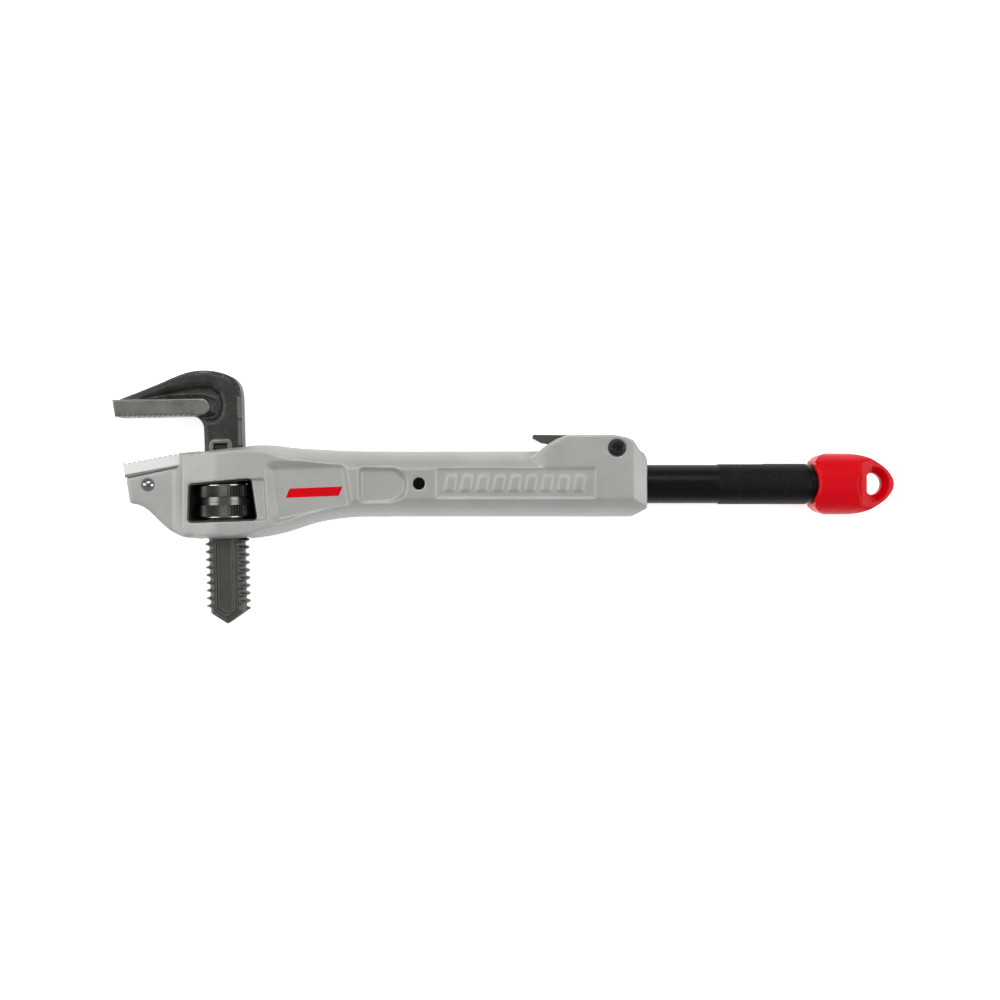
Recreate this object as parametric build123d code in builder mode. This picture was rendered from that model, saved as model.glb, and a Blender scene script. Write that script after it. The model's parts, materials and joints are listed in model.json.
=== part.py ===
"""Offset pipe wrench with a sliding hook jaw and a telescoping handle.

The wrench lies on its side. X runs along the handle, away from the jaws. Y points
towards the hook jaw. Z points up and is the thickness. All sizes are millimetres.
The origin is the point on the bench below the crossing of the handle axis and the
shank of the hook jaw.
"""

import math
import os

from build123d import *

# ---------------------------------------------------------------- driving sizes

mid_height = 18.0           # height of the wrench's middle plane above the bench

# hook jaw, nut and their shared axis
nut_y = -10.0               # height of the nut centre along Y
jaw_tilt = 1.45             # degrees the hook jaw leans towards the heel
pitch = 4.5                 # thread pitch
crest_radius = 12.7         # shank thread, outside
root_radius = 10.5          # shank thread, at the root
shank_half_thickness = 7.5  # flats milled on the threaded shank
hook_half_thickness = 7.5
pad_half_thickness = 9.5
tooth_pitch = 3.0
tooth_depth = 0.9
bevel_start = 5.2           # height above the middle where the hook's bevels start
bevel_angle = 50

# adjusting nut
nut_radius = 15.7
nut_neck_radius = 14.3
nut_height = 17.4
nut_band = 6.3              # height of each knurled band
nut_bore_radius = 13.1      # at the bottom of the nut's thread groove
nut_thread_radius = 10.95   # at the tip of the nut's thread ridge
knurl_count = 56
knurl_depth = 0.45
washer_gap = 0.25
washer_thickness = 0.5

# housing round the nut and the shank
house_half = 18.0
slot_half_width = 14.0
slot_half_thickness = 8.8
liner_wall = 0.9

# heel
heel_half = 10.0
insert_top_left = (-58.1, 11.8)
insert_top_right = (-25.1, 17.9)
insert_low_left = (-56.6, 3.4)
insert_low_right = (-25.1, 10.1)
heel_pin_x = -43.5
heel_pin_y = -0.6

# handle
bar_radius = 19.2
bar_half = 17.2             # flats on the round bar
bar_flat = math.sqrt(bar_radius ** 2 - bar_half ** 2)
rear_x = 245.2
chamfer_x = 236.9
rear_drop = 5.0            # depth of the rear chamfer
rear_face_drop = 3.2        # the same chamfer on the flat faces
rear_half = bar_half - rear_face_drop
bore_radius = 12.22
bore_end = 106.3
hole_x = 113.7
hole_radius = 3.5
hump_top = 28.1
seat_start = 232.0          # wider seat for the mouth bushing
seat_radius = 12.9

# latch lever
pivot_x = 227.5
pivot_y = 20.6
lever_half = 5.2
lever_slot_half = 6.0
pivot_radius = 2.5
screw_head_radius = 4.75
screw_head_height = 2.75
screw_seat = 1.2            # depth of the seat for the screw's head
nut_seat = 3.4              # depth of the seat for the nut on the back
nut_flat = 4.0              # half the nut's width across flats
tooth_half = 1.8

# telescoping tube and end cap
tube_radius = 11.4
tube_inner = 8.0
tube_start = 203.0
tube_end = 353.0
grip_start = 287.4
grip_end = 339.6
grip_radius = 11.9
groove_floor = 9.9
groove_start = 209.0
groove_end = 314.0
keyway_clearance = 0.35     # on each side of the lever's tooth
pocket_first = 213.8        # lock pockets along the floor of the keyway
pocket_step = 24.0
pocket_count = 5
pocket_radius = 2.1
pocket_depth = 1.1
glide_length = 5.0
glide_seat = 0.82
cap_pin_x = 350.6
cap_pin_radius = 1.5
cap_pin_half = 13.0
cap_front = 343.0
cap_end = 389.6
cap_half_height = 17.9
cap_half_thickness = 15.2

# ---------------------------------------------------------------- shared helpers

middle = Plane.XY.offset(mid_height)
cap_pin_plane = Plane(origin=(cap_pin_x, 0, mid_height), x_dir=(1, 0, 0), z_dir=(0, 1, 0))
tilt_sin = math.sin(math.radians(jaw_tilt))
tilt_cos = math.cos(math.radians(jaw_tilt))
jaw_plane = Plane(origin=(0, nut_y, mid_height), x_dir=(tilt_cos, tilt_sin, 0), z_dir=(0, 0, 1))


def station(x):
    """Plane across the handle: its first axis is +Y, its second is +Z."""
    return Plane(origin=(x, 0, mid_height), x_dir=(0, 1, 0), z_dir=(1, 0, 0))


def shank_station(distance):
    """Plane across the shank at a distance above the nut centre, normal along the shank."""
    origin = jaw_plane.from_local_coords((0, distance, 0))
    return Plane(origin=origin, x_dir=(tilt_cos, tilt_sin, 0), z_dir=(-tilt_sin, tilt_cos, 0))


def jaw_level(height):
    """Plane parallel to the bench in the hook jaw's own directions."""
    return jaw_plane.offset(height)


def toothed_line(start, end, depth, step):
    """Points of a saw-tooth edge from start to end, the tips lying on the straight line."""
    length = math.dist(start, end)
    count = int(length // step)
    along = ((end[0] - start[0]) / length, (end[1] - start[1]) / length)
    inward = (-along[1] * depth, along[0] * depth)
    points = [start]
    for number in range(count):
        foot = step * number + step * 0.3
        tip = step * (number + 1)
        points.append((start[0] + along[0] * foot + inward[0], start[1] + along[1] * foot + inward[1]))
        points.append((start[0] + along[0] * tip, start[1] + along[1] * tip))
    points.append(end)
    return points


def thread_ridge(base_radius, tip_radius, base_width, tip_width, height):
    """Right-handed helical ridge standing on the local XY plane, its start at angle zero."""
    with BuildPart() as ridge:
        with BuildLine():
            Helix(pitch=pitch, height=height, radius=base_radius)
        with BuildSketch(Plane.XZ):
            Polygon(
                (base_radius, -base_width / 2), (tip_radius, -tip_width / 2),
                (tip_radius, tip_width / 2), (base_radius, base_width / 2), align=None,
            )
        sweep(is_frenet=True)
    return ridge.part


def spring_coil(radius, wire, step, turns):
    """Round wire coil standing on the local XY plane."""
    with BuildPart() as coil:
        with BuildLine() as path:
            Helix(pitch=step, height=step * turns, radius=radius)
        with BuildSketch(Plane(origin=path.line @ 0, z_dir=path.line % 0)):
            Circle(wire / 2)
        sweep(is_frenet=True)
    return coil.part


# ---------------------------------------------------------------- handle body

def neck_section(x, top, bottom, half, top_inset, bottom_inset):
    """Flat-sided section of the head: flats front and back, crowned top and bottom."""
    with BuildSketch(station(x)) as section:
        with BuildLine():
            Line((bottom + bottom_inset, half), (top - top_inset, half))
            ThreePointArc((top - top_inset, half), (top, 0), (top - top_inset, -half))
            Line((top - top_inset, -half), (bottom + bottom_inset, -half))
            ThreePointArc((bottom + bottom_inset, -half), (bottom, 0), (bottom + bottom_inset, half))
        make_face()
    return section.sketch


neck_end = 97.0
# station along the handle, top, bottom, half thickness, crown inset top and bottom
head_stations = [
    (-23.0, 18.0, -30.8, house_half + 0.15, 1.2, 3.0),
    (-10.0, 19.5, -32.3, house_half + 0.15, 1.8, 2.6),
    (2.0, 21.1, -32.4, house_half + 0.15, 2.4, 2.6),
    (15.0, 22.4, -31.8, house_half + 0.15, 3.4, 3.4),
    (27.0, 22.6, -30.2, house_half + 0.15, 5.0, 5.0),
    (40.0, 21.2, -27.0, 17.8, 7.0, 7.0),
    (55.0, 20.2, -22.3, 17.5, 8.6, 8.2),
    (70.0, 19.5, -19.9, bar_half, bar_radius - bar_flat, 9.2),
    (79.0, 19.25, -19.3, bar_half, bar_radius - bar_flat, 10.2),
    (88.0, bar_radius, -bar_radius, bar_half, bar_radius - bar_flat, bar_radius - bar_flat),
    (neck_end, bar_radius, -bar_radius, bar_half, bar_radius - bar_flat, bar_radius - bar_flat),
]

# round bar with two flats and a chamfered rear end
bar_step = 0.05             # the bar is this much smaller than the neck it grows out of
bar_start = 92.0
with BuildPart() as bar:
    bar_section = neck_section(
        bar_start,
        bar_radius - bar_step,
        bar_step - bar_radius,
        bar_half - bar_step,
        bar_radius - bar_flat,
        bar_radius - bar_flat,
    )
    extrude(bar_section, amount=rear_x - bar_start)
    for profile_plane, half_size, drop in (
        (middle, bar_radius, rear_drop),
        (Plane.XZ.offset(60), bar_half, rear_face_drop),
    ):
        centre = 0 if profile_plane is middle else mid_height
        with BuildSketch(profile_plane):
            Polygon(
                (80.0, centre - half_size), (chamfer_x, centre - half_size),
                (rear_x, centre - half_size + drop), (rear_x, centre + half_size - drop),
                (chamfer_x, centre + half_size), (80.0, centre + half_size), align=None,
            )
        extrude(amount=-120, both=profile_plane is middle, mode=Mode.INTERSECT)

# heel plate under the hardened insert
with BuildPart() as heel:
    with BuildSketch(middle):
        with BuildLine():
            Polyline(
                (-54.2, -11.7), insert_low_left, insert_low_right, (-25.1, 17.9), (-14.0, 19.0),
                (-14.0, -31.2), (-18.0, -31.6),
            )
            Spline(
                (-18.0, -31.6), (-24.7, -30.3), (-31.6, -26.6), (-38.5, -20.3), (-45.0, -14.4),
                (-54.2, -11.7),
            )
        make_face()
    extrude(amount=heel_half, both=True)

# hollow blend between the heel plate and the thicker housing
with BuildPart() as heel_blend:
    with BuildSketch(middle):
        with BuildLine():
            Polyline(
                (-33.0, -25.25), (-33.0, 8.4), insert_low_right, (-25.1, 17.6), (-19.0, 18.2),
                (-19.0, -31.3),
            )
            Spline((-19.0, -31.3), (-24.7, -30.2), (-33.0, -25.25))
        make_face()
    extrude(amount=house_half, both=True)
    with BuildSketch(Plane.XZ.offset(60)):
        with BuildLine():
            Polyline((-34.0, mid_height - 9.0), (-34.0, mid_height + 9.0), (-32.8, mid_height + 9.6))
            Spline(
                (-32.8, mid_height + 9.6), (-26.0, mid_height + 11.4), (-23.2, mid_height + 13.2),
                (-19.0, mid_height + 14.4),
            )
            Line((-19.0, mid_height + 14.4), (-19.0, mid_height - 14.4))
            Spline(
                (-19.0, mid_height - 14.4), (-23.2, mid_height - 13.2), (-26.0, mid_height - 11.4),
                (-32.8, mid_height - 9.6),
            )
            Line((-32.8, mid_height - 9.6), (-34.0, mid_height - 9.0))
        make_face()
    extrude(amount=-120, mode=Mode.INTERSECT)

# hump that houses the latch lever, its sides flush with the flats of the bar
with BuildPart() as hump:
    with BuildSketch(middle):
        with BuildLine():
            Spline(
                (174.0, 8.0), (183.0, 19.0), (190.5, 24.4), (201.0, hump_top),
                tangents=[(1.0, 1.4), (1.0, 0.12)],
            )
            Polyline(
                (201.0, hump_top), (226.0, hump_top), (233.0, 26.8), (237.0, 25.0), (240.5, 19.6),
                (243.4, 17.6), (rear_x, 14.0), (rear_x, 2.0), (174.0, 2.0), (174.0, 8.0),
            )
        make_face()
    extrude(amount=bar_half, both=True)
    with BuildSketch(Plane.XZ.offset(60)):
        with BuildLine():
            Spline(
                (172.0, mid_height + 7.0), (177.0, mid_height + 12.5), (184.0, mid_height + 16.2),
                (194.0, mid_height + bar_half),
            )
            Polyline(
                (194.0, mid_height + bar_half), (chamfer_x, mid_height + bar_half),
                (rear_x, mid_height + rear_half), (rear_x, mid_height - rear_half),
                (chamfer_x, mid_height - bar_half), (194.0, mid_height - bar_half),
            )
            Spline(
                (194.0, mid_height - bar_half), (184.0, mid_height - 16.2), (177.0, mid_height - 12.5),
                (172.0, mid_height - 7.0),
            )
            Line((172.0, mid_height - 7.0), (172.0, mid_height + 7.0))
        make_face()
    extrude(amount=-120, mode=Mode.INTERSECT)

# panel outlines on the face: the first one narrows towards the handle
window_corners = [(-19.2, -0.1), (17.6, 3.2), (21.1, -21.3), (-19.9, -22.6)]
front_panel = [(33.0, -20.5), (55.0, -15.6), (72.6, -12.6), (69.0, 9.6), (29.5, 8.6)]
rear_panel = [
    (81.4, -10.6), (98.0, -9.8), (103.6, -6.0), (105.0, -1.0), (104.0, 3.6), (99.4, 7.2), (81.0, 7.8),
]
name_panel = [(123.7, -8.2), (214.9, -8.2), (214.9, 8.6), (123.7, 8.6)]
scoop = [(20.0, -20.8), (26.2, -20.4), (24.6, 2.6), (17.0, 2.2)]
facet_x = -2.3              # the housing's faces slope off from here towards the heel
facet_low = 11.0            # half thickness the slope would reach at x = -40
panel_depth = 2.6
scoop_depth = 1.6
name_depth = 0.9
badge_bars = 9
badge_spacing = 9.26
badge_middle = (169.0, 0.2)


def recess(corners, rounding, depth, half, taper):
    """Cutters for a sunk panel on both faces, the walls leaning outwards."""
    with BuildPart() as cutter:
        with BuildSketch(middle.offset(half - depth)):
            Polygon(*corners, align=None)
            fillet(vertices(), rounding)
        extrude(amount=depth + 1.5, taper=-taper)
        mirror(about=middle)
    return cutter.part


panel_cutters = [
    recess(front_panel, 1.6, panel_depth, bar_half, 52),
    recess(rear_panel, 1.6, panel_depth, bar_half, 45),
    recess(name_panel, 0.5, name_depth, bar_half, 30),
    recess(scoop, 1.0, scoop_depth, house_half, 20),
]

with BuildPart() as handle_body:
    loft([neck_section(*row) for row in head_stations])
    # flat faces of the housing, the wrench lies on the lower one; they slope off towards the heel
    with BuildSketch(Plane.XZ.offset(60)):
        Polygon(
            (-40.0, mid_height - facet_low), (facet_x, mid_height - house_half),
            (200.0, mid_height - house_half), (200.0, mid_height + house_half),
            (facet_x, mid_height + house_half), (-40.0, mid_height + facet_low), align=None,
        )
    extrude(amount=-120, mode=Mode.INTERSECT)
    add(bar.part)
    add(heel.part)
    add(heel_blend.part)
    add(hump.part)
    # window for the nut, open through both sides
    with BuildSketch(middle):
        Polygon(*window_corners, align=None)
        fillet(vertices(), 2.2)
    extrude(amount=house_half + 2, both=True, mode=Mode.SUBTRACT)
    # slot for the shank, open at the top and at the bottom
    with BuildSketch(jaw_plane):
        Rectangle(2 * slot_half_width, 100)
    extrude(amount=slot_half_thickness, both=True, mode=Mode.SUBTRACT)
    # pocket for the float spring beside the slot
    with BuildSketch(Plane(origin=(13.0, 11.0, mid_height), x_dir=(0, 0, 1), z_dir=(1, 0, 0))):
        Circle(3.6)
    extrude(amount=11.0, mode=Mode.SUBTRACT)
    with BuildSketch(jaw_plane):
        with Locations((14.6, 21.0)):
            Rectangle(2.6, 17.0)
    extrude(amount=5.4, both=True, mode=Mode.SUBTRACT)
    # relief for the leaf spring on the heel side, above the window
    with BuildSketch(jaw_plane):
        with Locations((-14.6, 20.5)):
            Rectangle(2.4, 14.0)
    extrude(amount=5.4, both=True, mode=Mode.SUBTRACT)
    # slot in the heel for the tang of the hardened insert, and its pin
    with BuildSketch(middle):
        Polygon((-50.5, -5.2), (-50.5, 6.0), (-36.0, 9.0), (-36.0, -5.2), align=None)
    extrude(amount=3.05, both=True, mode=Mode.SUBTRACT)
    with BuildSketch(middle):
        with Locations((heel_pin_x, heel_pin_y)):
            Circle(2.52)
    extrude(amount=heel_half + 2, both=True, mode=Mode.SUBTRACT)
    # bore for the tube, with a wider seat for the mouth bushing
    with BuildSketch(station(bore_end)):
        Circle(bore_radius)
    extrude(amount=rear_x - bore_end + 1, mode=Mode.SUBTRACT)
    with BuildSketch(station(seat_start)):
        Circle(seat_radius)
    extrude(amount=20.0, mode=Mode.SUBTRACT)
    # drain hole from the front face into the closed end of the bore
    with BuildSketch(middle):
        with Locations((hole_x, 0)):
            Circle(hole_radius)
    extrude(amount=30.0, mode=Mode.SUBTRACT)
    # slot for the lever along the hump, opening into the bore under its tooth
    with BuildSketch(middle):
        Polygon(
            (170.0, 20.2), (180.0, 20.2), (190.0, 17.0), (205.0, 14.2), (240.0, 14.2), (240.0, 30.0),
            (170.0, 30.0), align=None,
        )
        fillet(vertices().sort_by(Axis.X)[2:4], 2.0)
    extrude(amount=lever_slot_half, both=True, mode=Mode.SUBTRACT)
    with BuildSketch(middle):
        with Locations((213.0, 12.0)):
            Rectangle(14.0, 8.0)
    extrude(amount=tooth_half + 0.6, both=True, mode=Mode.SUBTRACT)
    # pivot hole, with seats for the screw head and the nut
    with BuildSketch(middle):
        with Locations((pivot_x, pivot_y)):
            Circle(pivot_radius + 0.05)
    extrude(amount=house_half + 2, both=True, mode=Mode.SUBTRACT)
    with BuildSketch(middle.offset(bar_half - screw_seat)):
        with Locations((pivot_x, pivot_y)):
            Circle(screw_head_radius + 0.35)
    extrude(amount=5.0, mode=Mode.SUBTRACT)
    with BuildSketch(middle.offset(-bar_half + nut_seat)):
        with Locations((pivot_x, pivot_y)):
            RegularPolygon(nut_flat + 0.05, 6, major_radius=False)
    extrude(amount=-6.0, mode=Mode.SUBTRACT)
    # sunk panels and the thumb scoop beside the window
    for cutter in panel_cutters:
        add(cutter, mode=Mode.SUBTRACT)
    # plain raised bars in the long panel
    for side in (1, -1):
        with BuildSketch(middle.offset(side * (bar_half - name_depth - 0.2))):
            with Locations(badge_middle):
                with GridLocations(badge_spacing, 1, badge_bars, 1):
                    Polygon((-3.4, -4.2), (1.8, -4.2), (3.4, 4.2), (-1.8, 4.2))
        extrude(amount=side * (name_depth + 0.1))

# ---------------------------------------------------------------- parts fixed in the body

with BuildPart() as heel_jaw:
    with BuildSketch(middle):
        with BuildLine():
            Polyline(*toothed_line(insert_top_right, insert_top_left, tooth_depth, tooth_pitch))
            Polyline(insert_top_left, insert_low_left, insert_low_right, insert_top_right)
        make_face()
    extrude(amount=heel_half, both=True)
    with BuildSketch(middle):
        Polygon((-50.4, -5.0), (-50.4, 6.5), (-36.1, 9.5), (-36.1, -5.0), align=None)
    extrude(amount=3.0, both=True)
    with BuildSketch(middle):
        with Locations((heel_pin_x, heel_pin_y)):
            Circle(2.52)
    extrude(amount=heel_half, both=True, mode=Mode.SUBTRACT)

pin_radius = 2.48
dome_radius = 3.7
dome_foot = heel_half + 0.02
dome_rim = dome_foot + 0.3
dome_top = dome_foot + 1.9
dome_sphere = (dome_radius ** 2 + (dome_top - dome_rim) ** 2) / (2 * (dome_top - dome_rim))
dome_middle = (dome_sphere * math.sin(0.4), dome_top - dome_sphere * (1 - math.cos(0.4)))
pin_plane = Plane(origin=(heel_pin_x, heel_pin_y, mid_height), x_dir=(1, 0, 0), z_dir=(0, -1, 0))
with BuildPart() as heel_jaw_pin:
    with BuildSketch(pin_plane):
        with BuildLine():
            Line((0, -dome_top), (0, dome_top))
            ThreePointArc((0, dome_top), dome_middle, (dome_radius, dome_rim))
            Polyline(
                (dome_radius, dome_rim), (dome_radius, dome_foot), (pin_radius, dome_foot),
                (pin_radius, -dome_foot), (dome_radius, -dome_foot), (dome_radius, -dome_rim),
            )
            ThreePointArc((dome_radius, -dome_rim), (dome_middle[0], -dome_middle[1]), (0, -dome_top))
        make_face()
    revolve(axis=Axis((heel_pin_x, heel_pin_y, mid_height), (0, 0, 1)))

liner_gap = 0.05
liner_floor = 1.2           # thickness of the liner's floor on the back
floor_opening = 10.2        # half width of the opening for the nut in that floor
with BuildPart() as window_liner:
    with BuildSketch(middle) as liner_outline:
        Polygon(*window_corners, align=None)
        fillet(vertices(), 2.2)
        offset(amount=-liner_gap, kind=Kind.ARC)
    extrude(amount=14.0, both=True)
    with BuildSketch(middle):
        Polygon(*window_corners, align=None)
        fillet(vertices(), 2.2)
        offset(amount=-liner_gap - liner_wall, kind=Kind.ARC)
    extrude(amount=house_half, both=True, mode=Mode.SUBTRACT)
    with BuildSketch(jaw_plane):
        Rectangle(2 * slot_half_width, 60)
    extrude(amount=slot_half_thickness, both=True, mode=Mode.SUBTRACT)
    # floor of the liner, open only where the nut comes through
    with BuildSketch(middle.offset(-14.0)):
        Polygon(*window_corners, align=None)
        fillet(vertices(), 2.2)
        offset(amount=-liner_gap, kind=Kind.ARC)
    extrude(amount=liner_floor)
    with BuildSketch(jaw_plane):
        Rectangle(2 * floor_opening, nut_height + 2.4)
    extrude(amount=-house_half, mode=Mode.SUBTRACT)

with BuildPart() as float_shoe:
    with BuildSketch(jaw_plane):
        with Locations((14.2, 21.0)):
            RectangleRounded(1.4, 15.0, 0.6)
    extrude(amount=5.0, both=True)

float_coil = spring_coil(2.7, 0.9, 1.55, 5)
spring_start = Plane(origin=(15.4, 11.0, mid_height), x_dir=(0, 0, 1), z_dir=(1, 0, 0))
with BuildPart() as float_coil_spring:
    add(spring_start * float_coil)

with BuildPart() as float_leaf_spring:
    with BuildSketch(jaw_plane):
        with BuildLine():
            ThreePointArc((-14.9, 14.2), (-14.3, 20.5), (-14.9, 26.8))
            Line((-14.9, 26.8), (-15.3, 26.8))
            ThreePointArc((-15.3, 26.8), (-14.75, 20.5), (-15.3, 14.2))
            Line((-15.3, 14.2), (-14.9, 14.2))
        make_face()
    extrude(amount=4.5, both=True)

with BuildPart() as mouth_bushing:
    with BuildSketch(station(seat_start + 0.1)):
        Circle(seat_radius - 0.05)
        Circle(grip_radius + 0.08, mode=Mode.SUBTRACT)
    extrude(amount=rear_x - 1.0 - seat_start - 0.1)
    with BuildSketch(middle):
        with Locations((236.0, 12.0)):
            Rectangle(3.0, 6.0)
    extrude(amount=1.2, both=True, mode=Mode.SUBTRACT)

with BuildPart() as mouth_snap_ring:
    with BuildSketch(station(rear_x - 0.95)):
        Circle(seat_radius - 0.02)
        Circle(seat_radius - 0.7, mode=Mode.SUBTRACT)
        with Locations((-12.5, 0)):
            Rectangle(3.0, 5.0, mode=Mode.SUBTRACT)
    extrude(amount=0.8)

with BuildPart() as lever_pivot_screw:
    with BuildSketch(middle.offset(-16.0)):
        with Locations((pivot_x, pivot_y)):
            Circle(pivot_radius)
    extrude(amount=16.0 + bar_half)
    with BuildSketch(middle.offset(bar_half - screw_seat + 0.05)):
        with Locations((pivot_x, pivot_y)):
            Circle(screw_head_radius)
    extrude(amount=screw_head_height)
    fillet(faces().sort_by(Axis.Z)[-1].edges(), 1.6)
    with BuildSketch(middle.offset(bar_half + 0.2)):
        with Locations((pivot_x, pivot_y)):
            RegularPolygon(1.55, 6, major_radius=False)
    extrude(amount=3.0, mode=Mode.SUBTRACT)

with BuildPart() as lever_pivot_nut:
    with BuildSketch(middle.offset(-bar_half + nut_seat - 0.1)):
        with Locations((pivot_x, pivot_y)):
            RegularPolygon(nut_flat, 6, major_radius=False)
            Circle(pivot_radius + 0.04, mode=Mode.SUBTRACT)
    extrude(amount=-3.6)

lever_coil_plane = Plane(origin=(pivot_x, pivot_y, mid_height + 2.9), x_dir=(1, 0, 0), z_dir=(0, 0, 1))
lever_coil = spring_coil(3.6, 0.7, 0.85, 3)
with BuildPart() as lever_spring:
    add(lever_coil_plane * lever_coil)

# ---------------------------------------------------------------- latch lever

with BuildPart() as release_lever:
    with BuildSketch(middle):
        with BuildLine():
            Polyline(
                (204.0, 20.4), (208.0, 14.8), (211.0, 10.2), (216.6, 10.2), (218.2, 15.2), (223.4, 16.4),
            )
            ThreePointArc((223.4, 16.4), (232.9, 21.4), (226.8, 26.1))
            Polyline((226.8, 26.1), (206.0, 27.4), (200.0, 28.4), (181.2, 28.6))
            ThreePointArc((181.2, 28.6), (179.2, 27.5), (180.4, 25.9))
            Polyline((180.4, 25.9), (184.2, 23.9), (188.0, 23.4), (193.0, 23.0), (204.0, 20.4))
        make_face()
    extrude(amount=lever_half, both=True)
    # the tooth is narrower than the lever, and so is the hub beside the spring
    for side in (1, -1):
        with BuildSketch(middle.offset(side * tooth_half)):
            Polygon((203.0, 8.0), (220.0, 8.0), (220.0, 15.0), (203.0, 15.0), align=None)
        extrude(amount=side * lever_half, mode=Mode.SUBTRACT)
    with BuildSketch(middle.offset(1.6)):
        with Locations((pivot_x, pivot_y)):
            Circle(7.5)
    extrude(amount=lever_half, mode=Mode.SUBTRACT)
    with BuildSketch(middle):
        with Locations((pivot_x, pivot_y)):
            Circle(pivot_radius + 0.06)
    extrude(amount=house_half, both=True, mode=Mode.SUBTRACT)

# ---------------------------------------------------------------- hook jaw

thread_low = -63.4          # shoulder of the pointed end, below the nut centre
thread_high = 21.0
point_low = -72.0
plain_low = 20.2            # where the unthreaded part of the shank starts

full_turn = thread_ridge(10.3, crest_radius, 2.3, 0.9, pitch)
with BuildPart() as ridge_pair:
    add(shank_station(0) * full_turn)
    with BuildSketch(jaw_plane):
        Rectangle(60, 60)
    extrude(amount=shank_half_thickness, both=True, mode=Mode.INTERSECT)



# plain part of the shank and the hook, its outer edges bevelled on both faces
with BuildPart() as hook_blank:
    with BuildSketch(jaw_plane):
        with BuildLine():
            Polyline((-11.0, plain_low), (-11.0, 42.0))
            ThreePointArc((-11.0, 42.0), (-13.34, 47.66), (-19.0, 50.0))
            Polyline((-19.0, 50.0), (-60.0, 50.0), (-62.0, 59.8), (-34.0, 70.4))
            Spline((-34.0, 70.4), (-20.0, 75.4), (-8.0, 76.3), (3.8, 73.3), (11.2, 59.5),
                   tangents=[(28.0, 10.6), (0.0, -1.0)])
            Polyline((11.2, 59.5), (11.2, plain_low), (-11.0, plain_low))
        make_face()
    extrude(amount=hook_half_thickness, both=True)
    flat_faces = faces().filter_by(Axis.Z)
    outer_edges = [
        edge for face in flat_faces for edge in face.edges()
        if edge.center().X > 5.0 or edge.center().Y > 54.0 or (edge.center().Y < 30 and edge.center().X < -9)
    ]
    chamfer(outer_edges, length=hook_half_thickness - bevel_start)

# dished hollow behind the pad: its steps are small, so it reads as a smooth dish
hollow_line = [
    (-46.0, 60.6), (-31.0, 65.0), (-16.0, 67.8), (-6.0, 67.2), (-0.6, 63.0), (1.0, 56.0),
    (-0.6, 49.6), (-5.0, 46.4), (-10.0, 47.0), (-12.4, 49.0), (-5.0, 52.0), (-5.0, 58.5), (-11.0, 60.6),
]


def hollow_cutter(side, depth, shrink, taper):
    """One step of the dish on one face."""
    with BuildPart() as cutter:
        with BuildSketch(jaw_level(side * (hook_half_thickness - depth))):
            Polygon(*hollow_line, align=None)
            offset(amount=-shrink, kind=Kind.INTERSECTION)
        extrude(amount=side * (depth + 0.3), taper=-taper)
    return cutter.part


hollow_cutters = [
    hollow_cutter(side, depth, shrink, taper)
    for side in (1, -1)
    for depth, shrink, taper in ((0.9, 0.2, 55), (2.4, 1.6, 35))
]

# wedge-shaped keep-out for the pointed end, bevelled like the hook
with BuildPart() as point_blank:
    for height, amount, taper in (
        (0.0, bevel_start, 0.0), (bevel_start - 0.05, 3.0, bevel_angle),
    ):
        for side in (1, -1):
            with BuildSketch(jaw_level(side * height)):
                Polygon(
                    (-90.0, 130.0), (-90.0, point_low + 60.7), (0.0, point_low + 0.4),
                    (90.0, point_low + 60.7), (90.0, 130.0), align=None,
                )
            extrude(amount=side * amount, taper=taper)

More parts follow.
